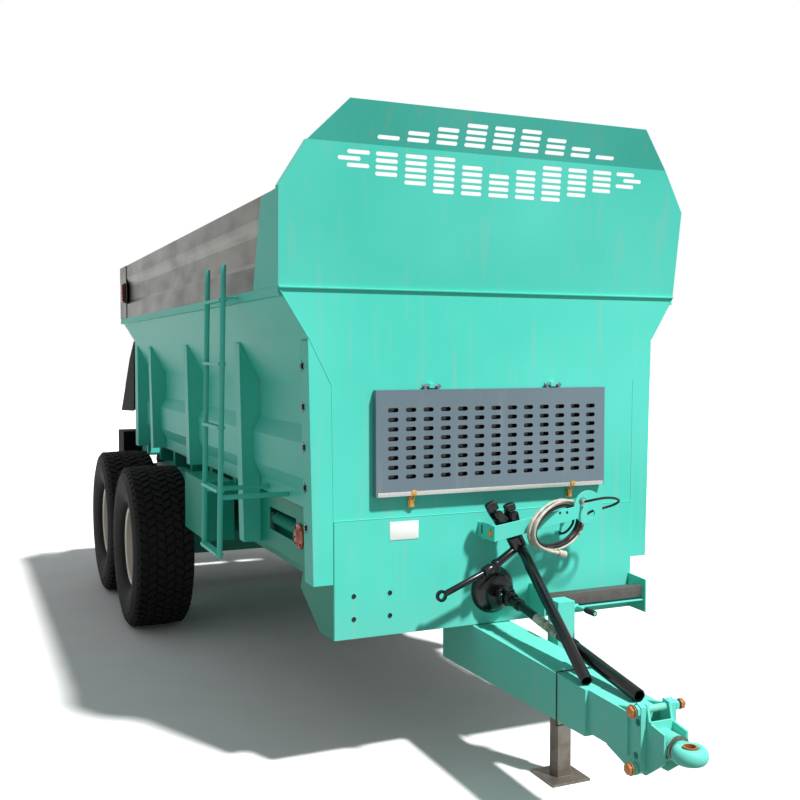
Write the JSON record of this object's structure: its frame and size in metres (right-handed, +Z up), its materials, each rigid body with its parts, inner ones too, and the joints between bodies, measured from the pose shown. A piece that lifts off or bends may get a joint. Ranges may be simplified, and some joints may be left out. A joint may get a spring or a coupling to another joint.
{
  "type": "manure spreader",
  "caption": "Towed tandem-axle manure spreader with a green hopper, steel extension, louvred front hood, chain floor and rear beaters.",
  "frame": {"origin": "centre of the machine's footprint on the ground", "axes": "+Z up, +Y towards the rear, +X to the machine's left"},
  "size_m": [2.544, 7.223, 3.0711],
  "materials": {
    "bare_steel": "rough",
    "black_paint": "satin",
    "cable_grey": "matte",
    "deep_green": "gloss",
    "grey_paint": "satin",
    "hose_black": "satin",
    "painted_green": "gloss",
    "red_lens": "gloss",
    "rim_paint": "satin",
    "stainless": "brushed",
    "tyre": "matte"
  },
  "bodies": {
    "chassis": {"front_plate": "painted_green", "front_hood": "painted_green", "hopper_side_left": "painted_green", "hopper_side_right": "painted_green", "extension_panel_left": "stainless", "marker_lamp_left": "red_lens", "extension_panel_right": "stainless", "marker_lamp_right": "red_lens", "rib_front_left": "painted_green", "rib_front_right": "painted_green", "rib_middle_left": "painted_green", "rib_middle_right": "painted_green", "rib_rear_left": "painted_green", "rib_rear_right": "painted_green", "chassis_frame": "deep_green", "chain_tensioner_left": "deep_green", "chain_tensioner_right": "deep_green", "floor_plate": "stainless", "floor_chain": "bare_steel", "chain_shaft_front": "bare_steel", "chain_shaft_rear": "bare_steel", "ladder": "painted_green", "bogie_beam_left": "deep_green", "bogie_beam_right": "deep_green", "axle_front": "deep_green", "axle_rear": "deep_green", "drawbar": "painted_green", "hitch_yoke": "painted_green", "jack_tube": "painted_green", "drive_shield": "black_paint", "drive_shaft": "black_paint", "shaft_bracket": "painted_green", "stowed_shafts": "black_paint", "cable_coil": "cable_grey", "cable_lead": "cable_grey", "hose_lead": "hose_black", "hose_loop": "hose_black", "front_step": "painted_green", "rear_frame": "painted_green", "beater_gearcase": "black_paint", "spinner_deck": "deep_green", "oil_tank": "deep_green"},
    "wheel_front_left": {"tyre_front_left": "tyre", "rim_front_left": "rim_paint"},
    "wheel_front_right": {"tyre_front_right": "tyre", "rim_front_right": "rim_paint"},
    "wheel_rear_left": {"tyre_rear_left": "tyre", "rim_rear_left": "rim_paint"},
    "wheel_rear_right": {"tyre_rear_right": "tyre", "rim_rear_right": "rim_paint"},
    "hitch_ring": {"hitch_eye": "painted_green"},
    "jack_foot": {"jack_leg": "bare_steel"},
    "grille": {"grille_panel": "grey_paint"},
    "tailgate": {"rear_door": "painted_green"},
    "beater_low": {"beater_lower": "black_paint"},
    "beater_high": {"beater_upper": "black_paint"},
    "spinner_left": {"spinner_disc_left": "bare_steel"},
    "spinner_right": {"spinner_disc_right": "bare_steel"},
    "tail_hood": {"rear_hood": "black_paint"}
  },
  "joints": [
    {"name": "spin_front_left", "type": "hinge", "parent": "chassis", "child": "wheel_front_left", "pos_m": [1.0645, 1.1115, 0.575], "axis": [1, 0, 0], "continuous": true},
    {"name": "spin_front_right", "type": "hinge", "parent": "chassis", "child": "wheel_front_right", "pos_m": [-1.0645, 1.1115, 0.575], "axis": [1, 0, 0], "continuous": true},
    {"name": "spin_rear_left", "type": "hinge", "parent": "chassis", "child": "wheel_rear_left", "pos_m": [1.0645, 2.3615, 0.575], "axis": [1, 0, 0], "continuous": true},
    {"name": "spin_rear_right", "type": "hinge", "parent": "chassis", "child": "wheel_rear_right", "pos_m": [-1.0645, 2.3615, 0.575], "axis": [1, 0, 0], "continuous": true},
    {"name": "eye_swivel", "type": "hinge", "parent": "chassis", "child": "hitch_ring", "pos_m": [0, -3.4335, 0.543], "axis": [0, 1, 0], "continuous": true},
    {"name": "jack_lift", "type": "slide", "parent": "chassis", "child": "jack_foot", "axis": [0, 0, 1], "range_m": [0, 0.28]},
    {"name": "grille_swing", "type": "hinge", "parent": "chassis", "child": "grille", "pos_m": [0, -2.1025, 1.816], "axis": [-1, 0, 0], "range_deg": [0, 110]},
    {"name": "tailgate_lift", "type": "slide", "parent": "chassis", "child": "tailgate", "axis": [0, 0, 1], "range_m": [0, 0.85]},
    {"name": "beater_low_spin", "type": "hinge", "parent": "chassis", "child": "beater_low", "pos_m": [0, 2.8315, 1.318], "axis": [1, 0, 0], "continuous": true},
    {"name": "beater_high_spin", "type": "hinge", "parent": "chassis", "child": "beater_high", "pos_m": [0, 2.8315, 1.698], "axis": [1, 0, 0], "continuous": true},
    {"name": "spinner_left_spin", "type": "hinge", "parent": "chassis", "child": "spinner_left", "pos_m": [0.43, 3.1715, 0.9], "axis": [0, 0, 1], "continuous": true},
    {"name": "spinner_right_spin", "type": "hinge", "parent": "chassis", "child": "spinner_right", "pos_m": [-0.43, 3.1715, 0.9], "axis": [0, 0, 1], "continuous": true},
    {"name": "tail_hood_swing", "type": "hinge", "parent": "chassis", "child": "tail_hood", "pos_m": [0, 2.6778, 2.065], "axis": [1, 0, 0], "range_deg": [0, 75]}
  ]
}
